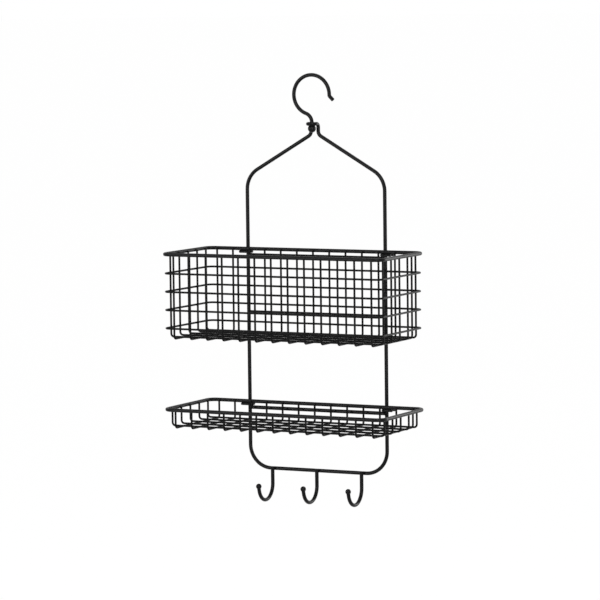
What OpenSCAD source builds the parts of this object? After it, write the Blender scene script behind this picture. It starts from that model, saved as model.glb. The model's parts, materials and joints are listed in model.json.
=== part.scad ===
// Two-tier hanging shower caddy, bent and welded from round steel wire.
// Millimetres. The origin is the centre of the top hook's circle. X is along
// the baskets, -Y is the front, +Z is up.

/* [Wire] */
// Diameter of the frame loop and crossbar wire
frame_wire_d = 5.2; // [3:0.1:7]
// Diameter of the basket rim wire
rim_wire_d = 5.2; // [3:0.1:7]
// Diameter of the thin basket mesh wire
mesh_wire_d = 2.8; // [1.6:0.1:4]
// Diameter of the top hook wire
top_hook_wire_d = 5.2; // [3:0.1:5.2]
// Diameter of the robe hook wire
robe_wire_d = 5.2; // [3:0.1:7]
// Diameter of the basket clip wire
clip_wire_d = 3.6; // [2:0.1:6]

/* [Top hook] */
// Centre-line radius of the top hook's circle
hook_r = 27.2; // [15:0.1:45]
// Polar angle left of straight down at which the circle turns into the neck
neck_a = 70; // [55:1:80]
// Straight length between the circle and the neck bend
neck_blend = 0.6; // [0.3:0.1:3]
// Straight length of shank between the neck bend and the eye's plane
neck_len = 1.8; // [0.5:0.1:20]
// Straight length between the circle and the tip's bend
tip_blend = 0.3; // [0.3:0.1:20]
// Bend radius at the flared tip
tip_r = 3; // [2.6:0.1:12]
// Flare of the tip away from the vertical
tip_a = 45; // [0:1:80]
// Straight length of the flared tip
tip_len = 6.6; // [2:0.1:30]
// Diameter of the stop ball under the eye
stop_ball_d = 11.2; // [9:0.1:20]

/* [Frame] */
// Spacing of the two uprights, centre to centre
frame_w = 212; // [140:1:400]
// Slope of the shoulders below the horizontal
shoulder_slope = 30.2; // [10:0.1:50]
// Bend radius at the shoulders
shoulder_r = 32; // [10:1:60]
// Bend radius at the two bottom corners
foot_r = 32; // [10:1:60]
// Centre-line radius of the eye, which also sets the spacing of its two stubs
eye_r = 5.5; // [5.5:0.1:12]
// Straight run of the eye forward of its bends
eye_reach = 3.5; // [0.5:0.1:20]
// Bend radius where the stubs turn forward into the eye
eye_bend_r = 5; // [3:0.1:12]
// Height of the eye's plane above the corner where stub and shoulder meet
stub_h = 15; // [11:0.1:60]
// Bend radius between stub and shoulder
stub_bend_r = 8; // [4:0.1:12]
// Height of the eye's plane above the upper basket's rim
eye_to_rim = 174.6; // [120:0.1:300]
// Height of the lower basket's rim above the bottom bar
rim_to_foot = 93.6; // [60:0.1:200]
// Drop of the upper basket's rest bar below its crossbar
upper_rest_drop = 80; // [30:0.1:105]
// Drop of the lower basket's rest bar below its crossbar
lower_rest_drop = 9.9; // [6:0.1:15]

/* [Baskets] */
// Rim length, centre-line to centre-line
basket_l = 331; // [250:0.5:600]
// Rim depth front to back, centre-line to centre-line
basket_w = 135; // [80:0.5:250]
// Rim corner radius on the centre-line
rim_corner_r = 11.5; // [6:0.5:30]
// Ring corner radius on the centre-line
ring_corner_r = 9; // [4:0.5:10.5]
// Height of the upper rim above the lower rim
basket_pitch = 213.8; // [140:0.1:400]
// Depth of the upper basket from rim to the cross wires' floor run
upper_depth = 115.9; // [60:0.1:150]
// Depth of the lower basket from rim to the cross wires' floor run
lower_depth = 24.9; // [15:0.1:80]
// Bend radius of the mesh wires at the floor
floor_bend_r = 4.3; // [3:0.1:10]
// Number of cross wires in each basket
cross_n = 13; // [5:1:13]
// Distance from each end of the rim to the nearest cross wire
cross_end = 15.5; // [13:0.05:40]
// Number of long wires in each basket
long_n = 5; // [2:1:5]
// Distance from the rim's front and back to the nearest long wire
long_side = 16.1; // [13:0.05:40]
// Depth that the long wires are let into the cross wires at the floor's welds
weld_set = 1.1; // [0.2:0.05:1.2]
// Drop of the first ring below the upper rim
ring_first = 26.3; // [10:0.1:60]
// Height of the last ring above the floor run of the cross wires
ring_last = 14.1; // [9:0.1:40]

/* [Clips] */
// Reach of each clip outward from its upright's axis
clip_reach = 10.5; // [4:0.1:30]
// Length of each clip's tail behind its upright
clip_tail = 9.6; // [0.5:0.1:20]

/* [Robe hooks] */
// Spacing of the robe hooks along the bottom bar
robe_pitch = 69; // [30:0.5:80]
// Length of each stem from the bar's axis down to the bend
robe_stem = 20; // [5:0.1:60]
// Centre-line radius of each robe hook's bend
robe_r = 21; // [8:0.1:40]
// Lean of each robe hook's end away from the vertical, forward
robe_lean = 10; // [0:1:60]
// Straight length at each robe hook's end, up to the ball's centre
robe_tip = 4; // [3.9:0.1:20]
// Diameter of the ball on each robe hook's end
robe_ball_d = 7.8; // [6:0.1:9]

/* [Clearances] */
// Gap left at each welded contact
weld_gap = 0.05; // [0.02:0.01:0.2]
// Gap between a basket and the frame that it slides on
slide_gap = 0.3; // [0.2:0.05:1]
// Gap between the eye and the stop ball under it
swivel_gap = 0.3; // [0.1:0.05:1]

/* [Hidden] */
$fn = 48;
fr = frame_wire_d / 2;
rr = rim_wire_d / 2;
mr = mesh_wire_d / 2;
hr = top_hook_wire_d / 2;
br = robe_wire_d / 2;
cr = clip_wire_d / 2;

// Lengths are kept to the micrometre, so that straights and bends meet exactly.
function mm(v) = round(v * 1000) / 1000;

// Top hook: the neck bend is tangent to the circle and to the shank.
neck_r = mm((hook_r * cos(neck_a) - neck_blend * sin(neck_a)) / (1 - cos(neck_a)));
neck_z = mm(-(hook_r + neck_r) * sin(neck_a) - neck_blend * cos(neck_a));
eye_z = neck_z - neck_len;
ball_z = mm(eye_z - sqrt(pow(stop_ball_d / 2 + fr + swivel_gap, 2) - pow(eye_r, 2)));

// Frame: its plane lies behind the hook by the eye's forward run.
frame_y = eye_bend_r + eye_reach;
corner_z = eye_z - stub_h;
stub_t = mm(stub_bend_r * tan((90 - shoulder_slope) / 2));
shoulder_z = mm(corner_z - (frame_w / 2 - eye_r) * tan(shoulder_slope));
shoulder_t = mm(shoulder_r * tan((90 - shoulder_slope) / 2));

// Baskets.
upper_z = eye_z - eye_to_rim;
lower_z = upper_z - basket_pitch;
foot_z = lower_z - rim_to_foot;
rim_back = frame_y - (fr + rr + slide_gap);
rim_front = rim_back - basket_w;
rim_mid = (rim_back + rim_front) / 2;
inset = rr + mr + weld_gap;
cross_pitch = mm((basket_l - 2 * cross_end) / (cross_n - 1));
long_pitch = mm((basket_w - 2 * long_side) / (long_n - 1));
ring_pitch = mm((upper_depth - ring_first - ring_last) / 3);
end_x = basket_l / 2 - inset;
side_back = rim_back - inset;
side_front = rim_front + inset;
ring_off = 2 * mr + weld_gap;
long_up = 2 * mr + weld_gap - weld_set;

// Clips and crossbars: rim, clip and crossbar are stacked.
clip_drop = rr + cr + weld_gap;
clip_r = frame_y - rim_back;
bar_drop = clip_drop + cr + slide_gap + fr;
upper_bar_z = upper_z - bar_drop;
lower_bar_z = lower_z - bar_drop;

// Robe hooks stand in front of the bottom bar.
robe_y = frame_y - (fr + br + weld_gap);

// Laps of straights into sloping bends.
lap = 0.1;
lap_step = 0.01;

upper_body = [0.13, 0.13, 0.14];
lower_body = [0.17, 0.17, 0.18];
frame_body = [0.10, 0.10, 0.11];
hook_body = [0.08, 0.08, 0.09];

// A straight wire from a along +Z turned by ry about Y.
module rod(p, len, r, rot = [0, 0, 0]) {
  translate(p) rotate(rot) cylinder(r = r, h = len);
}

// A straight wire between sloping bends: a hair thinner, and lapped into the bend at each end.
module lapped(len, r, ends = 2) {
  translate([0, 0, -lap]) cylinder(r = r - lap_step, h = len + ends * lap);
}

// A bend in the XZ plane about p, from polar angle a0 over da degrees.
module bend_xz(p, rad, r, a0, da) {
  translate(p) rotate([90, 0, 0]) rotate([0, 0, a0]) rotate_extrude(angle = da) translate([rad, 0]) circle(r = r);
}

// A bend in the YZ plane about p, from +Y towards +Z, or towards -Z where up is -1.
module bend_yz(p, rad, r, a0, da, up = 1) {
  translate(p) rotate([up * 90, 0, 90]) rotate([0, 0, a0]) rotate_extrude(angle = da) translate([rad, 0]) circle(r = r);
}

// A bend in the XY plane about p.
module bend_xy(p, rad, r, a0, da) {
  translate(p) rotate([0, 0, a0]) rotate_extrude(angle = da) translate([rad, 0]) circle(r = r);
}

// Top hook: flared tip, circle, neck and shank, one bent wire.
module top_hook() {
  color(hook_body) {
    rod([hook_r, 0, -tip_blend], tip_blend, hr);
    translate([hook_r + tip_r, 0, -tip_blend]) {
      bend_xz([0, 0, 0], tip_r, hr, 180, tip_a);
      translate([-tip_r * cos(tip_a), 0, -tip_r * sin(tip_a)]) rotate([0, 180 - tip_a, 0]) lapped(tip_len, hr, 1);
    }
    bend_xz([0, 0, 0], hook_r, hr, 0, 180 + neck_a);
    translate([-hook_r * cos(neck_a), 0, -hook_r * sin(neck_a)]) rotate([0, 180 - neck_a, 0])
      lapped(neck_blend, hr);
    bend_xz([-neck_r, 0, neck_z], neck_r, hr, 0, neck_a);
    rod([0, 0, ball_z], neck_z - ball_z, hr);
  }
}

module stop_ball() {
  color(hook_body) difference() {
    translate([0, 0, ball_z]) sphere(d = stop_ball_d);
    rod([0, 0, ball_z - weld_gap], stop_ball_d, hr + weld_gap);
  }
}

// One side of the frame loop, on the +X side.
module frame_side() {
  // Bottom corner.
  bend_xz([frame_w / 2 - foot_r, frame_y, foot_z + foot_r], foot_r, fr, 270, 90);
  // Upright.
  rod([frame_w / 2, frame_y, foot_z + foot_r], shoulder_z - shoulder_t - foot_z - foot_r, fr);
  // Shoulder bend and slope.
  bend_xz([frame_w / 2 - shoulder_r, frame_y, shoulder_z - shoulder_t], shoulder_r, fr, 0, 90 - shoulder_slope);
  translate([eye_r, frame_y, corner_z]) rotate([0, 90 + shoulder_slope, 0]) translate([0, 0, stub_t])
    lapped((frame_w / 2 - eye_r) / cos(shoulder_slope) - stub_t - shoulder_t, fr);
  // Stub bend, stub and the bend forward into the eye.
  bend_xz([eye_r + stub_bend_r, frame_y, corner_z + stub_t], stub_bend_r, fr, 180, 90 - shoulder_slope);
  rod([eye_r, frame_y, corner_z + stub_t], stub_h - stub_t - eye_bend_r, fr);
  bend_yz([eye_r, frame_y - eye_bend_r, eye_z - eye_bend_r], eye_bend_r, fr, 0, 90);
  rod([eye_r, 0, eye_z], eye_reach, fr, [-90, 0, 0]);
}

// Frame loop: one wire, from the bottom bar up both sides to the eye round the shank.
module frame_loop() {
  color(frame_body) {
    rod([-(frame_w / 2 - foot_r), frame_y, foot_z], frame_w - 2 * foot_r, fr, [0, 90, 0]);
    frame_side();
    mirror([1, 0, 0]) frame_side();
    bend_xy([0, 0, eye_z], eye_r, fr, 180, 180);
  }
}

// Crossbars are coped to the uprights.
module crossbar(z) {
  color(frame_body) difference() {
    rod([-frame_w / 2, frame_y, z], frame_w, fr, [0, 90, 0]);
    for (s = [-1, 1]) rod([s * frame_w / 2, frame_y, z - 2 * fr], 4 * fr, fr + weld_gap);
  }
}

// Robe hook: a stem in front of the bar, a bend forward and a short straight end.
module robe_hook(i) {
  color(frame_body) {
    rod([i * robe_pitch, robe_y, foot_z - robe_stem], robe_stem + fr, br);
    bend_yz([i * robe_pitch, robe_y - robe_r, foot_z - robe_stem], robe_r, br, 0, 180 - robe_lean, up = -1);
    robe_end(i) lapped(robe_tip, br, 1);
  }
}

// Places its child at the start of a robe hook's straight end, along it.
module robe_end(i) {
  translate([i * robe_pitch, robe_y - robe_r * (1 + cos(robe_lean)), foot_z - robe_stem - robe_r * sin(robe_lean)])
    rotate([robe_lean, 0, 0]) children();
}

// The ball has a blind socket for the hook's end.
module robe_ball(i) {
  color(frame_body) robe_end(i) difference() {
    translate([0, 0, robe_tip]) sphere(d = robe_ball_d);
    cylinder(r = br + weld_gap, h = robe_tip + weld_gap);
  }
}

// A closed rectangle of wire with rounded corners, centred on rim_mid.
// Its straights are drawn from their middles, so that their ends meet the bends exactly.
module wire_rect(z, l, w, r, wr) {
  hx = l / 2 - r;
  hy = w / 2 - r;
  for (s = [-1, 1]) {
    translate([0, rim_mid + s * (hy + r), z]) rotate([0, 90, 0]) cylinder(r = wr, h = 2 * hx, center = true);
    translate([s * (hx + r), rim_mid, z]) rotate([90, 0, 0]) cylinder(r = wr, h = 2 * hy, center = true);
  }
  for (c = [[1, 1, 0], [-1, 1, 90], [-1, -1, 180], [1, -1, 270]])
    bend_xy([c[0] * hx, rim_mid + c[1] * hy, z], r, wr, c[2], 90);
}

module rim(z) {
  wire_rect(z, basket_l, basket_w, rim_corner_r, rr);
}

module ring(z) {
  wire_rect(z, 2 * (end_x + ring_off), side_back - side_front + 2 * ring_off, ring_corner_r, mr);
}

function cross_x(k) = (k - (cross_n - 1) / 2) * cross_pitch;

// A cross wire: down the front, under the floor and up the back.
module cross_wire(z, depth, k) {
  x = cross_x(k);
  zb = z - depth;
  w = side_back - side_front;
  for (y = [side_front, side_back]) rod([x, y, zb + floor_bend_r], depth - floor_bend_r, mr);
  bend_yz([x, side_back - floor_bend_r, zb + floor_bend_r], floor_bend_r, mr, 270, 90);
  bend_yz([x, side_front + floor_bend_r, zb + floor_bend_r], floor_bend_r, mr, 180, 90);
  rod([x, side_front + floor_bend_r, zb], w - 2 * floor_bend_r, mr, [-90, 0, 0]);
}

// A long wire: down one end, along the floor on the cross wires and up the other end.
// It is notched where it is let into the cross wires.
module long_wire(z, depth, j) {
  y = rim_mid + (j - (long_n - 1) / 2) * long_pitch;
  zb = z - depth + long_up;
  for (s = [-1, 1]) {
    rod([s * end_x, y, zb + floor_bend_r], depth - long_up - floor_bend_r, mr);
    bend_xz([s * (end_x - floor_bend_r), y, zb + floor_bend_r], floor_bend_r, mr, s > 0 ? 270 : 180, 90);
  }
  difference() {
    rod([-(end_x - floor_bend_r), y, zb], 2 * (end_x - floor_bend_r), mr, [0, 90, 0]);
    for (k = [0:cross_n - 1])
      rod([cross_x(k), y - 2 * mr, z - depth], 4 * mr, mr + weld_gap, [-90, 0, 0]);
  }
}

// A clip: under the rim, round the inner side of its upright, and back out behind it.
module clip(z, s) {
  zc = z - clip_drop;
  translate([s * frame_w / 2, frame_y, zc]) {
    rod([min(0, s * clip_reach), -clip_r, 0], clip_reach, cr, [0, 90, 0]);
    bend_xy([0, 0, 0], clip_r, cr, s > 0 ? 90 : 270, 180);
    rod([min(0, s * clip_tail), clip_r, 0], clip_tail, cr, [0, 90, 0]);
  }
}

module upper_rim() { color(upper_body) rim(upper_z); }
module lower_rim() { color(lower_body) rim(lower_z); }
module upper_ring(k) { color(upper_body) ring(upper_z - ring_first - (k - 1) * ring_pitch); }
module upper_cross_wire(k) { if (k <= cross_n) color(upper_body) cross_wire(upper_z, upper_depth, k - 1); }
module lower_cross_wire(k) { if (k <= cross_n) color(lower_body) cross_wire(lower_z, lower_depth, k - 1); }
module upper_long_wire(j) { if (j <= long_n) color(upper_body) long_wire(upper_z, upper_depth, j - 1); }
module lower_long_wire(j) { if (j <= long_n) color(lower_body) long_wire(lower_z, lower_depth, j - 1); }
module upper_clip(s) { color(upper_body) clip(upper_z, s); }
module lower_clip(s) { color(lower_body) clip(lower_z, s); }

top_hook();
stop_ball();
frame_loop();
crossbar(upper_bar_z);  // upper_crossbar
crossbar(upper_bar_z - upper_rest_drop);  // upper_rest_bar
crossbar(lower_bar_z);  // lower_crossbar
crossbar(lower_bar_z - lower_rest_drop);  // lower_rest_bar
robe_hook(-1);  // robe_hook_left
robe_hook(0);  // robe_hook_middle
robe_hook(1);  // robe_hook_right
robe_ball(-1);  // robe_ball_left
robe_ball(0);  // robe_ball_middle
robe_ball(1);  // robe_ball_right
upper_rim();
upper_ring(1);  // upper_ring_1
upper_ring(2);  // upper_ring_2
upper_ring(3);  // upper_ring_3
upper_ring(4);  // upper_ring_4
upper_clip(-1);  // upper_clip_left
upper_clip(1);  // upper_clip_right
lower_rim();
lower_clip(-1);  // lower_clip_left
lower_clip(1);  // lower_clip_right
upper_cross_wire(1);  // upper_cross_wire_1
upper_cross_wire(2);  // upper_cross_wire_2
upper_cross_wire(3);  // upper_cross_wire_3
upper_cross_wire(4);  // upper_cross_wire_4
upper_cross_wire(5);  // upper_cross_wire_5
upper_cross_wire(6);  // upper_cross_wire_6
upper_cross_wire(7);  // upper_cross_wire_7
upper_cross_wire(8);  // upper_cross_wire_8
upper_cross_wire(9);  // upper_cross_wire_9
upper_cross_wire(10);  // upper_cross_wire_10
upper_cross_wire(11);  // upper_cross_wire_11
upper_cross_wire(12);  // upper_cross_wire_12
upper_cross_wire(13);  // upper_cross_wire_13
upper_long_wire(1);  // upper_long_wire_1
upper_long_wire(2);  // upper_long_wire_2
upper_long_wire(3);  // upper_long_wire_3
upper_long_wire(4);  // upper_long_wire_4
upper_long_wire(5);  // upper_long_wire_5
lower_cross_wire(1);  // lower_cross_wire_1
lower_cross_wire(2);  // lower_cross_wire_2
lower_cross_wire(3);  // lower_cross_wire_3
lower_cross_wire(4);  // lower_cross_wire_4
lower_cross_wire(5);  // lower_cross_wire_5
lower_cross_wire(6);  // lower_cross_wire_6
lower_cross_wire(7);  // lower_cross_wire_7
lower_cross_wire(8);  // lower_cross_wire_8
lower_cross_wire(9);  // lower_cross_wire_9
lower_cross_wire(10);  // lower_cross_wire_10
lower_cross_wire(11);  // lower_cross_wire_11
lower_cross_wire(12);  // lower_cross_wire_12
lower_cross_wire(13);  // lower_cross_wire_13
lower_long_wire(1);  // lower_long_wire_1
lower_long_wire(2);  // lower_long_wire_2
lower_long_wire(3);  // lower_long_wire_3
lower_long_wire(4);  // lower_long_wire_4
lower_long_wire(5);  // lower_long_wire_5
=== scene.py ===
"""Hanging wire shower caddy: black coating, coated weld beads and rounded wire ends.

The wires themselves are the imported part. Sizes here are millimetres until they reach Blender.
"""
import json
import math

import bmesh
import bpy
from mathutils import Matrix, Vector


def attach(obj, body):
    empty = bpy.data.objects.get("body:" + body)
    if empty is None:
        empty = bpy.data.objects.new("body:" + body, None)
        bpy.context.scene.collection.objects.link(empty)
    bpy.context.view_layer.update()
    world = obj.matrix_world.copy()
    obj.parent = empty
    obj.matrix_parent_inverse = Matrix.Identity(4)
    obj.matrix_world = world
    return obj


MM = 0.001

# ---------------------------------------------------------------- the caddy's own sizes, in millimetres
FRAME_WIRE_R = 2.6
RIM_WIRE_R = 2.6
MESH_WIRE_R = 1.4
HOOK_WIRE_R = 2.6
ROBE_WIRE_R = 2.6
CLIP_WIRE_R = 1.8
SEAM = 0.025  # half of the gap that a weld closes
UNDERCUT = 0.01  # a crown's radius is this much smaller than its wire's
LAP_STEP = 0.01  # a lapped straight's radius is this much smaller than its bend's
MESH_CROWN, CUT_CROWN, HOOK_CROWN = 0.45, 0.7, 0.8  # height of the rounded coating on cut ends

# The frame: its uprights, its plane, its bottom bar and its four other bars.
UPRIGHT_X, FRAME_Y, FOOT_Z = 106.0, 8.5, -522.046
BAR_Z = {"upper": -223.796, "upper rest": -303.796, "lower": -437.596, "lower rest": -447.496}

# The baskets: from the rims down to the floors, then the mesh wires, the rings and the clips.
RIM_Z = {"upper": -214.646, "lower": -428.446}
DEPTH = {"upper": 115.9, "lower": 24.9}
RIM_BACK = 3.0
WIRE_BACK, WIRE_FRONT, WIRE_END = -1.05, -127.95, 161.45
CROSS_COUNT, CROSS_PITCH = 13, 25.0
LONG_COUNT, LONG_PITCH, LONG_FIRST = 5, 25.7, -115.9
LONG_UP = 1.75  # how far the long wires lie above the cross wires that they are let into
RING_COUNT, RING_FIRST, RING_PITCH = 4, 26.3, 25.167
RIM_BEAD_DROP = 0.5  # the rim welds sit a little below the wires' cut ends
CLIP_REACH, CLIP_TAIL = 10.5, 9.6

# The robe hooks and the top hook.
ROBE_PITCH, ROBE_STEM, ROBE_BEND, ROBE_LEAN, ROBE_TIP, ROBE_BALL_R = 69.0, 20.0, 21.0, 10.0, 4.0, 3.9
ROBE_Y = 3.25
TIP_BLEND, TIP_BEND, TIP_FLARE, TIP_LENGTH, HOOK_R = 0.3, 3.0, 45.0, 6.6, 27.2

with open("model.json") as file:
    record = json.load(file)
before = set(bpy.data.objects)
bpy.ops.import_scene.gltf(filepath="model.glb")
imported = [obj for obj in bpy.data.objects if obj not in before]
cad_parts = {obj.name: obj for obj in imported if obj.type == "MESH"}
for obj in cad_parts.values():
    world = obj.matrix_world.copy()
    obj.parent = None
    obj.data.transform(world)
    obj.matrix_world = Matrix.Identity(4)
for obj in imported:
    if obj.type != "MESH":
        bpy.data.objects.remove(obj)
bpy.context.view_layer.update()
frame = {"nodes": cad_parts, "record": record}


# ---------------------------------------------------------------- shader groups and materials
def socket(group, name, kind, into=True, value=None):
    """A named input, or output, of a node group."""
    made = group.interface.new_socket(name=name, in_out="INPUT" if into else "OUTPUT", socket_type=kind)
    if value is not None:
        made.default_value = value


def node(tree, kind, at, **settings):
    """A new node. A setting whose name starts with in_ is the value of the input of that name."""
    made = tree.nodes.new(kind)
    made.location = at
    for name, value in settings.items():
        if name.startswith("in_"):
            made.inputs[name[3:].replace("_", " ")].default_value = value
        else:
            setattr(made, name, value)
    return made


DRIFT_SCALE = 38.0  # patches of tone and sheen to the metre
SPECK_SCALE = 160.0  # specks to the metre
SPECK_EDGE, SPECK_CORE = 0.045, 0.02  # where a speck ends and where it is full, in its own cell
SPECK_HEIGHT = 0.008
SHEEN_DRIFT = 0.08


def coating_group():
    """Baked coating: fine orange peel, a slow drift of tone and sheen, a few specks under the film."""
    g = bpy.data.node_groups.new("Baked Coating", "ShaderNodeTree")
    socket(g, "Colour", "NodeSocketColor", value=(0.01, 0.01, 0.01, 1))
    socket(g, "Tone Drift", "NodeSocketFloat", value=0.15)
    socket(g, "Roughness", "NodeSocketFloat", value=0.36)
    socket(g, "Sheen Drift", "NodeSocketFloat", value=0.06)
    socket(g, "Peel Size", "NodeSocketFloat", value=1.4)
    socket(g, "Peel Height", "NodeSocketFloat", value=0.01)
    socket(g, "Speck Height", "NodeSocketFloat", value=0.008)
    socket(g, "Base Color", "NodeSocketColor", into=False)
    socket(g, "Roughness", "NodeSocketFloat", into=False)
    socket(g, "Normal", "NodeSocketVector", into=False)
    given = node(g, "NodeGroupInput", (-1200, 0))
    result = node(g, "NodeGroupOutput", (900, 0))
    place = node(g, "ShaderNodeTexCoord", (-1200, -300))
    link = g.links.new

    drift = node(g, "ShaderNodeTexNoise", (-700, 300), in_Detail=3.0, in_Roughness=0.55)
    drift.inputs["Scale"].default_value = DRIFT_SCALE
    link(place.outputs["Object"], drift.inputs["Vector"])
    centred = node(g, "ShaderNodeMath", (-500, 300), operation="SUBTRACT")
    centred.inputs[1].default_value = 0.5
    link(drift.outputs["Fac"], centred.inputs[0])

    tone = node(g, "ShaderNodeMath", (-300, 420), operation="MULTIPLY_ADD")
    link(centred.outputs[0], tone.inputs[0])
    link(given.outputs["Tone Drift"], tone.inputs[1])
    tone.inputs[2].default_value = 1.0
    shade = node(g, "ShaderNodeVectorMath", (-80, 420), operation="SCALE")
    link(given.outputs["Colour"], shade.inputs[0])
    link(tone.outputs[0], shade.inputs["Scale"])
    link(shade.outputs[0], result.inputs["Base Color"])

    sheen = node(g, "ShaderNodeMath", (-80, 220), operation="MULTIPLY_ADD", use_clamp=True)
    link(centred.outputs[0], sheen.inputs[0])
    link(given.outputs["Sheen Drift"], sheen.inputs[1])
    link(given.outputs["Roughness"], sheen.inputs[2])
    link(sheen.outputs[0], result.inputs["Roughness"])

    to_scale = node(g, "ShaderNodeMath", (-940, -100), operation="DIVIDE")
    to_scale.inputs[0].default_value = 1 / MM
    link(given.outputs["Peel Size"], to_scale.inputs[1])
    peel = node(g, "ShaderNodeTexNoise", (-700, -60), in_Detail=1.5, in_Roughness=0.4)
    link(place.outputs["Object"], peel.inputs["Vector"])
    link(to_scale.outputs[0], peel.inputs["Scale"])
    peel_mm = node(g, "ShaderNodeMath", (-460, -60), operation="MULTIPLY")
    link(peel.outputs["Fac"], peel_mm.inputs[0])
    link(given.outputs["Peel Height"], peel_mm.inputs[1])

    specks = node(g, "ShaderNodeTexVoronoi", (-700, -360), feature="F1", in_Scale=SPECK_SCALE)
    link(place.outputs["Object"], specks.inputs["Vector"])
    near = node(g, "ShaderNodeMapRange", (-460, -360), interpolation_type="SMOOTHSTEP")
    near.inputs["From Min"].default_value = SPECK_EDGE
    near.inputs["From Max"].default_value = SPECK_CORE
    link(specks.outputs["Distance"], near.inputs["Value"])
    speck_mm = node(g, "ShaderNodeMath", (-260, -200), operation="MULTIPLY_ADD")
    link(near.outputs["Result"], speck_mm.inputs[0])
    link(given.outputs["Speck Height"], speck_mm.inputs[1])
    link(peel_mm.outputs[0], speck_mm.inputs[2])

    bump = node(g, "ShaderNodeBump", (100, -200), in_Strength=1.0, in_Distance=MM)
    link(speck_mm.outputs[0], bump.inputs["Height"])
    link(bump.outputs["Normal"], result.inputs["Normal"])
    return g


COATING = coating_group()


def coated(name, colour, roughness, shine=0.1, peel=1.4, height=0.012, tone=0.2):
    """A material of the baked coating. The orange peel's grain and its height are millimetres."""
    material = bpy.data.materials.new(name)
    material.use_nodes = True
    tree = material.node_tree
    surface = tree.nodes["Principled BSDF"]
    surface.inputs["Metallic"].default_value = 0.0
    surface.inputs["Specular IOR Level"].default_value = shine
    film = node(tree, "ShaderNodeGroup", (-360, 100), node_tree=COATING)
    film.inputs["Colour"].default_value = (*colour, 1)
    film.inputs["Roughness"].default_value = roughness
    film.inputs["Peel Size"].default_value = peel
    film.inputs["Peel Height"].default_value = height
    film.inputs["Tone Drift"].default_value = tone
    film.inputs["Sheen Drift"].default_value = SHEEN_DRIFT
    film.inputs["Speck Height"].default_value = SPECK_HEIGHT
    for out in ("Base Color", "Roughness", "Normal"):
        tree.links.new(film.outputs[out], surface.inputs[out])
    return material


BLACK = (0.003, 0.003, 0.0032)
DEEP_BLACK = (0.002, 0.002, 0.0021)
FINISH = {
    "hook_wire": coated("Hook Wire Satin Black", BLACK, 0.22, shine=0.08),
    "frame_wire": coated("Frame Wire Satin Black", BLACK, 0.22, shine=0.08),
    "basket_wire": coated("Rim Wire Satin Black", BLACK, 0.34),
    "mesh_wire": coated("Mesh Wire Satin Black", DEEP_BLACK, 0.36, shine=0.06, peel=1.1, height=0.010),
    "ball_cap": coated("Ball End Satin Black", BLACK, 0.32, height=0.008),
}
WELD = coated("Coated Weld Satin Black", DEEP_BLACK, 0.42, shine=0.06, peel=0.8, height=0.02, tone=0.3)

for part in frame["record"]["subparts"]:
    cad = frame["nodes"][part["node"]]
    for cad_slot in cad.material_slots:
        cad_slot.material = FINISH[part["material_slot"]]


# ---------------------------------------------------------------- weld beads and rounded wire ends
BEAD_SEGMENTS, BEAD_RINGS = 12, 6


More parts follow.
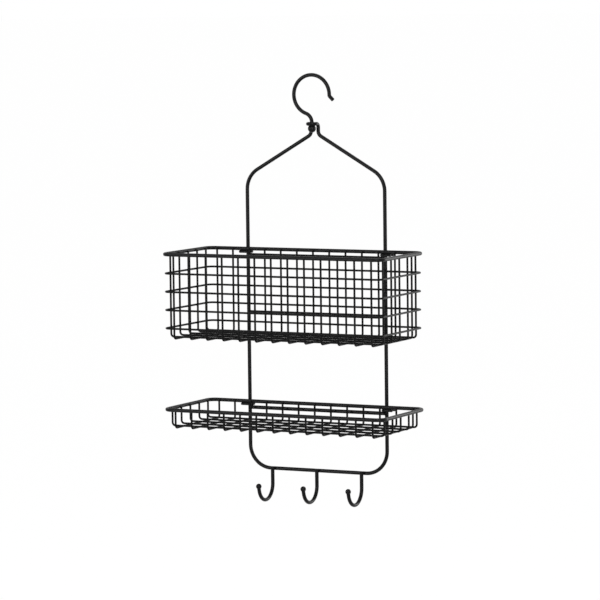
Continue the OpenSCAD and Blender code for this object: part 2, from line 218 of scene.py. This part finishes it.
def bead_rows_tree():
    """Beads in rows and columns from a start point, each a flattened ball turned as asked."""
    g = bpy.data.node_groups.new("Bead Rows", "GeometryNodeTree")
    for name, kind, value in (
        ("Geometry", "NodeSocketGeometry", None),
        ("Columns", "NodeSocketInt", 1),
        ("Rows", "NodeSocketInt", 1),
        ("Start", "NodeSocketVector", None),
        ("Column Step", "NodeSocketVector", None),
        ("Row Step", "NodeSocketVector", None),
        ("Bead Size", "NodeSocketVector", None),
        ("Bead Turn", "NodeSocketVector", None),
        ("Size Drift", "NodeSocketFloat", 0.12),
        ("Seed", "NodeSocketInt", 1),
        ("Material", "NodeSocketMaterial", None),
    ):
        socket(g, name, kind, value=value)
    socket(g, "Geometry", "NodeSocketGeometry", into=False)
    given = node(g, "NodeGroupInput", (-1200, 0))
    result = node(g, "NodeGroupOutput", (1200, 0))
    link = g.links.new

    column = node(g, "GeometryNodeMeshLine", (-900, 300), mode="OFFSET")
    link(given.outputs["Columns"], column.inputs["Count"])
    link(given.outputs["Start"], column.inputs["Start Location"])
    link(given.outputs["Column Step"], column.inputs["Offset"])
    row = node(g, "GeometryNodeMeshLine", (-900, 0), mode="OFFSET")
    link(given.outputs["Rows"], row.inputs["Count"])
    link(given.outputs["Row Step"], row.inputs["Offset"])
    grid = node(g, "GeometryNodeInstanceOnPoints", (-600, 200))
    link(column.outputs["Mesh"], grid.inputs["Points"])
    link(row.outputs["Mesh"], grid.inputs["Instance"])
    points = node(g, "GeometryNodeRealizeInstances", (-400, 200))
    link(grid.outputs["Instances"], points.inputs["Geometry"])

    ball = node(g, "GeometryNodeMeshUVSphere", (-400, -100))
    ball.inputs["Segments"].default_value = BEAD_SEGMENTS
    ball.inputs["Rings"].default_value = BEAD_RINGS
    ball.inputs["Radius"].default_value = 1.0
    drift = node(g, "FunctionNodeRandomValue", (-600, -300), data_type="FLOAT")
    low = node(g, "ShaderNodeMath", (-900, -300), operation="SUBTRACT")
    low.inputs[0].default_value = 1.0
    link(given.outputs["Size Drift"], low.inputs[1])
    high = node(g, "ShaderNodeMath", (-900, -460), operation="ADD")
    high.inputs[0].default_value = 1.0
    link(given.outputs["Size Drift"], high.inputs[1])
    limits = [limit for limit in drift.inputs if limit.type == "VALUE"]
    link(low.outputs[0], limits[0])
    link(high.outputs[0], limits[1])
    link(given.outputs["Seed"], drift.inputs["Seed"])
    size = node(g, "ShaderNodeVectorMath", (-200, -300), operation="SCALE")
    link(given.outputs["Bead Size"], size.inputs[0])
    factor = [drawn for drawn in drift.outputs if drawn.type == "VALUE"][0]
    link(factor, size.inputs["Scale"])

    beads = node(g, "GeometryNodeInstanceOnPoints", (0, 100))
    link(points.outputs["Geometry"], beads.inputs["Points"])
    link(ball.outputs["Mesh"], beads.inputs["Instance"])
    link(given.outputs["Bead Turn"], beads.inputs["Rotation"])
    link(size.outputs[0], beads.inputs["Scale"])
    real = node(g, "GeometryNodeRealizeInstances", (250, 100))
    link(beads.outputs["Instances"], real.inputs["Geometry"])
    smooth = node(g, "GeometryNodeSetShadeSmooth", (500, 100))
    link(real.outputs["Geometry"], smooth.inputs["Geometry"])
    paint = node(g, "GeometryNodeSetMaterial", (750, 100))
    link(smooth.outputs["Geometry"], paint.inputs["Geometry"])
    link(given.outputs["Material"], paint.inputs["Material"])
    link(paint.outputs["Geometry"], result.inputs["Geometry"])
    return g


BEAD_ROWS = bead_rows_tree()
seeds = iter(range(1, 1000))


def metres(millimetres):
    return [length * MM for length in millimetres]


def bead_rows(
    start,
    size,
    columns=1,
    column_step=(0, 0, 0),
    rows=1,
    row_step=(0, 0, 0),
    turn=(0, 0, 0),
    drift=0.12,
    finish=None,
):
    """A plain mesh of beads. Places and sizes are millimetres, and turn is degrees."""
    carrier = bpy.data.objects.new("bead_rows", bpy.data.meshes.new("bead_rows"))
    bpy.context.scene.collection.objects.link(carrier)
    rule = carrier.modifiers.new("Bead Rows", "NODES")
    rule.node_group = BEAD_ROWS
    values = {
        "Columns": columns,
        "Rows": rows,
        "Start": metres(start),
        "Column Step": metres(column_step),
        "Row Step": metres(row_step),
        "Bead Size": metres(size),
        "Bead Turn": [math.radians(angle) for angle in turn],
        "Size Drift": float(drift),
        "Seed": next(seeds),
        "Material": finish or WELD,
    }
    for item in BEAD_ROWS.interface.items_tree:
        if item.item_type == "SOCKET" and item.in_out == "INPUT" and item.name in values:
            rule[item.identifier] = values[item.name]
    seen = carrier.evaluated_get(bpy.context.evaluated_depsgraph_get())
    mesh = bpy.data.meshes.new_from_object(seen)
    bpy.data.objects.remove(carrier)
    return mesh


def gather(name, meshes, body):
    """One object out of several meshes, riding on a body."""
    whole = bmesh.new()
    for piece in meshes:
        whole.from_mesh(piece)
    mesh = bpy.data.meshes.new(name)
    whole.to_mesh(mesh)
    whole.free()
    finish = [material for material in meshes[0].materials if material][0]
    mesh.materials.append(finish)
    for face in mesh.polygons:
        face.use_smooth = True
        face.material_index = 0
    for piece in meshes:
        bpy.data.meshes.remove(piece)
    made = bpy.data.objects.new(name, mesh)
    bpy.context.scene.collection.objects.link(made)
    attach(made, body)


CROSS_FIRST = -CROSS_PITCH * (CROSS_COUNT - 1) / 2
CROSS = dict(columns=CROSS_COUNT, column_step=(CROSS_PITCH, 0, 0))
LONG = dict(columns=LONG_COUNT, column_step=(0, LONG_PITCH, 0))

# Half sizes of the weld beads along X, Y and Z, as they lie on a basket's front or back.
RING_BEAD = (1.55, 0.7, 1.55)
RIM_BEAD = (1.55, 0.85, 1.85)
FLOOR_BEAD = (1.8, 1.8, 0.95)
CLIP_BEAD = (4.2, 1.45, 0.75)


def turned(size):
    """The same bead on an end of the basket instead of its front or back."""
    return (size[1], size[0], size[2])


def basket_welds(tier):
    """Beads where the mesh wires cross each other, the rings and the rim."""
    z, floor = RIM_Z[tier], RIM_Z[tier] - DEPTH[tier]
    ring_drops = [RING_FIRST + ring * RING_PITCH for ring in range(RING_COUNT)]
    out = []
    for side, wire_y in ((1, WIRE_BACK), (-1, WIRE_FRONT)):
        seam_y = wire_y + side * (MESH_WIRE_R + SEAM)
        # Cross wires' tops on the rim.
        out.append(bead_rows((CROSS_FIRST, seam_y, z - RIM_BEAD_DROP), RIM_BEAD, **CROSS))
        # Cross wires on the rings.
        if tier == "upper":
            for drop in ring_drops:
                out.append(bead_rows((CROSS_FIRST, seam_y, z - drop), RING_BEAD, **CROSS))
    for side in (1, -1):
        x = side * (WIRE_END + MESH_WIRE_R + SEAM)
        # Long wires' tops on the rim.
        out.append(bead_rows((x, LONG_FIRST, z - RIM_BEAD_DROP), turned(RIM_BEAD), **LONG))
        # Long wires on the rings.
        if tier == "upper":
            for drop in ring_drops:
                out.append(bead_rows((x, LONG_FIRST, z - drop), turned(RING_BEAD), **LONG))
    # Floor crossings: long wires let into cross wires.
    out.append(
        bead_rows(
            (CROSS_FIRST, LONG_FIRST, floor + LONG_UP / 2),
            FLOOR_BEAD,
            rows=LONG_COUNT,
            row_step=(0, LONG_PITCH, 0),
            **CROSS,
        )
    )
    # Clips lying under the back of the rim.
    for side in (1, -1):
        under_rim = (side * (UPRIGHT_X + CLIP_REACH / 2), RIM_BACK, z - RIM_WIRE_R - SEAM)
        out.append(bead_rows(under_rim, CLIP_BEAD))
    return out


def basket_ends(tier):
    """Rounded coating on the cut ends of the mesh wires, at the rim."""
    z = RIM_Z[tier]
    r = MESH_WIRE_R - UNDERCUT
    finish = FINISH["mesh_wire"]
    out = []
    for y in (WIRE_BACK, WIRE_FRONT):
        out.append(bead_rows((CROSS_FIRST, y, z), (r, r, MESH_CROWN), drift=0.0, finish=finish, **CROSS))
    for x in (WIRE_END, -WIRE_END):
        out.append(bead_rows((x, LONG_FIRST, z), (r, r, MESH_CROWN), drift=0.0, finish=finish, **LONG))
    return out


def clip_ends(tier):
    """Rounded coating on both cut ends of each clip."""
    z = RIM_Z[tier] - RIM_WIRE_R - CLIP_WIRE_R - 2 * SEAM
    r = CLIP_WIRE_R - UNDERCUT
    finish = FINISH["basket_wire"]
    out = []
    for side in (1, -1):
        for y, reach in ((RIM_BACK, CLIP_REACH), (2 * FRAME_Y - RIM_BACK, CLIP_TAIL)):
            cut_end = (side * (UPRIGHT_X + reach), y, z)
            out.append(bead_rows(cut_end, (CUT_CROWN, r, r), drift=0.0, finish=finish))
    return out


for tier in ("upper", "lower"):
    gather(tier + "_weld_beads", basket_welds(tier), tier + "_basket")
    gather(tier + "_mesh_wire_ends", basket_ends(tier), tier + "_basket")
    gather(tier + "_clip_ends", clip_ends(tier), tier + "_basket")

# Half sizes of the frame's own beads along X, Y and Z.
BAR_BEAD = (1.6, 2.95, 2.95)
ROBE_BEAD = (2.5, 1.05, 2.4)
COLLAR = (2.95, 2.95, 0.75)
BAR_DRIFT, ROBE_DRIFT = 0.03, 0.05
ROBE_SIDES = (-1, 0, 1)


def frame_welds():
    """Beads where the crossbars meet the uprights and the robe hooks meet the bottom bar."""
    out = []
    for z in BAR_Z.values():
        for side in (1, -1):
            bar_end = (side * (UPRIGHT_X - FRAME_WIRE_R), FRAME_Y, z)
            out.append(bead_rows(bar_end, BAR_BEAD, drift=BAR_DRIFT))
    for side in ROBE_SIDES:
        stem_seam = (side * ROBE_PITCH, ROBE_Y + ROBE_WIRE_R + SEAM, FOOT_Z)
        out.append(bead_rows(stem_seam, ROBE_BEAD, drift=ROBE_DRIFT))
    return out


def robe_collars():
    """A low collar where each robe hook enters its ball, square to the leaning wire."""
    lean = math.radians(ROBE_LEAN)
    along = ROBE_TIP - math.sqrt(ROBE_BALL_R**2 - ROBE_WIRE_R**2)
    y = ROBE_Y - ROBE_BEND * (1 + math.cos(lean)) - along * math.sin(lean)
    z = FOOT_Z - ROBE_STEM - ROBE_BEND * math.sin(lean) + along * math.cos(lean)
    out = []
    for side in ROBE_SIDES:
        neck = (side * ROBE_PITCH, y, z)
        out.append(bead_rows(neck, COLLAR, turn=(ROBE_LEAN, 0, 0), drift=0.0))
    return out


def robe_stem_tops():
    """Rounded coating on the cut top of each robe hook's stem."""
    r = ROBE_WIRE_R - UNDERCUT
    finish = FINISH["frame_wire"]
    out = []
    for side in ROBE_SIDES:
        cut_top = (side * ROBE_PITCH, ROBE_Y, FOOT_Z + FRAME_WIRE_R)
        out.append(bead_rows(cut_top, (r, r, CUT_CROWN), drift=0.0, finish=finish))
    return out


def hook_tip_end():
    """Rounded coating on the hook's tip, which is lapped and so a little thinner than the hook."""
    flare = math.radians(TIP_FLARE)
    x = HOOK_R + TIP_BEND - TIP_BEND * math.cos(flare) + TIP_LENGTH * math.sin(flare)
    z = -TIP_BLEND - TIP_BEND * math.sin(flare) - TIP_LENGTH * math.cos(flare)
    r = HOOK_WIRE_R - LAP_STEP - UNDERCUT
    outwards = (0, 180 - TIP_FLARE, 0)
    finish = FINISH["hook_wire"]
    return [bead_rows((x, 0, z), (r, r, HOOK_CROWN), turn=outwards, drift=0.0, finish=finish)]


gather("frame_weld_beads", frame_welds(), "frame")
gather("robe_ball_collars", robe_collars(), "frame")
gather("robe_stem_tops", robe_stem_tops(), "frame")
gather("hook_tip_end", hook_tip_end(), "hook")


# ---------------------------------------------------------------- floor, backdrop, lamps and camera
WHITE = (1, 1, 1, 1)
WORLD_LIGHT = 0.75
FLOOR_Z, FLOOR_REACH, FLOOR_SIDES = -1.25, 200, 96
FLOOR_GREY = (0.9, 0.9, 0.9, 1)
FLOOR_GLOW = 1.03
FLOOR_SEEN = 0.9  # the rest of what is seen of the floor is its lit surface, with the shadow
LAMPS_AIM = Vector((0, -0.06, -0.27))


def seen_share(tree):
    """One where the camera or a reflection looks, nought for the light that falls on the caddy."""
    path = node(tree, "ShaderNodeLightPath", (-700, 300))
    looked_at = node(tree, "ShaderNodeMath", (-450, 300), operation="MAXIMUM")
    either = node(tree, "ShaderNodeMath", (-250, 300), operation="MAXIMUM")
    tree.links.new(path.outputs["Is Camera Ray"], looked_at.inputs[0])
    tree.links.new(path.outputs["Is Glossy Ray"], looked_at.inputs[1])
    tree.links.new(looked_at.outputs[0], either.inputs[0])
    tree.links.new(path.outputs["Is Transmission Ray"], either.inputs[1])
    return either.outputs[0]


def mixed(tree, share, unseen, seen, out):
    """Joins the lit and the seen shader by a share, and sends them to the output."""
    mix = node(tree, "ShaderNodeMixShader", (350, 0))
    tree.links.new(share, mix.inputs[0])
    tree.links.new(unseen.outputs[0], mix.inputs[1])
    tree.links.new(seen.outputs[0], mix.inputs[2])
    tree.links.new(mix.outputs[0], out.inputs["Surface"])


def studio_world():
    """A dim backdrop that lights the caddy and is white where it is seen."""
    world = bpy.data.worlds.new("Studio")
    bpy.context.scene.world = world
    world.use_nodes = True
    tree = world.node_tree
    tree.nodes.clear()
    out = node(tree, "ShaderNodeOutputWorld", (600, 0))
    lit = node(tree, "ShaderNodeBackground", (0, -100), in_Color=WHITE, in_Strength=WORLD_LIGHT)
    seen = node(tree, "ShaderNodeBackground", (0, 100), in_Color=WHITE, in_Strength=1.0)
    mixed(tree, seen_share(tree), lit, seen, out)


def pale_floor():
    """A wide white floor, far enough below the caddy to keep only a faint shadow."""
    bpy.ops.mesh.primitive_circle_add(
        vertices=FLOOR_SIDES,
        radius=FLOOR_REACH,
        fill_type="NGON",
        location=(0, 0, FLOOR_Z),
    )
    floor = bpy.context.object
    floor.name = "floor"
    paper = bpy.data.materials.new("Pale Floor")
    paper.use_nodes = True
    tree = paper.node_tree
    tree.nodes.clear()
    out = node(tree, "ShaderNodeOutputMaterial", (600, 0))
    lit = node(tree, "ShaderNodeBsdfDiffuse", (0, -100), in_Color=FLOOR_GREY)
    glow = node(tree, "ShaderNodeEmission", (0, 100), in_Color=WHITE, in_Strength=FLOOR_GLOW)
    share = node(tree, "ShaderNodeMath", (50, 300), operation="MULTIPLY")
    share.inputs[1].default_value = FLOOR_SEEN
    tree.links.new(seen_share(tree), share.inputs[0])
    mixed(tree, share.outputs[0], lit, glow, out)
    floor.data.materials.append(paper)


def softbox(name, at, size, power):
    """A rectangular lamp aimed at the caddy's middle: metres and watts."""
    lamp = bpy.data.lights.new(name, "AREA")
    lamp.shape = "RECTANGLE"
    lamp.size, lamp.size_y = size
    lamp.energy = power
    stand = bpy.data.objects.new(name, lamp)
    stand.location = at
    stand.rotation_mode = "QUATERNION"
    stand.rotation_quaternion = (LAMPS_AIM - Vector(at)).to_track_quat("-Z", "Y")
    bpy.context.scene.collection.objects.link(stand)


studio_world()
pale_floor()
softbox("key_softbox", (1.6, -2.6, 1.6), (1.4, 1.4), 48)
softbox("front_softbox", (-1.25, -2.5, 0.0), (0.9, 1.1), 30)
softbox("side_softbox", (2.05, -2.45, -0.35), (0.7, 1.2), 26)
softbox("top_softbox", (0.2, -0.2, 2.0), (1.6, 1.0), 18)
softbox("rear_softbox", (0.72, 1.1, -0.17), (0.5, 0.9), 6)

SENSOR, LENS = 36.0, 209.646
CAMERA_AT = (2.1605, -4.2967, 0.1411)
CAMERA_TURN = (26.922, -5.041, -0.664)  # heading, pitch and roll in degrees
BEYOND_FLOOR = 1000


def camera_to_the_right():
    """A long lens to the right of the caddy's front, looking slightly down."""
    camera = bpy.data.cameras.new("camera")
    camera.sensor_width = SENSOR
    camera.lens = LENS
    camera.clip_end = BEYOND_FLOOR
    heading, pitch, roll = (math.radians(angle) for angle in CAMERA_TURN)
    level = Vector((math.cos(heading), math.sin(heading), 0))
    flat = math.cos(pitch)
    ahead = Vector((-math.sin(heading) * flat, math.cos(heading) * flat, math.sin(pitch)))
    above = level.cross(ahead)
    right = math.cos(roll) * level + math.sin(roll) * above
    up = -math.sin(roll) * level + math.cos(roll) * above
    stand = bpy.data.objects.new("camera", camera)
    turned_axes = Matrix((right, up, -ahead)).transposed().to_4x4()
    stand.matrix_world = Matrix.Translation(CAMERA_AT) @ turned_axes
    bpy.context.scene.collection.objects.link(stand)
    bpy.context.scene.camera = stand


camera_to_the_right()
bpy.context.scene.view_settings.view_transform = "Standard"
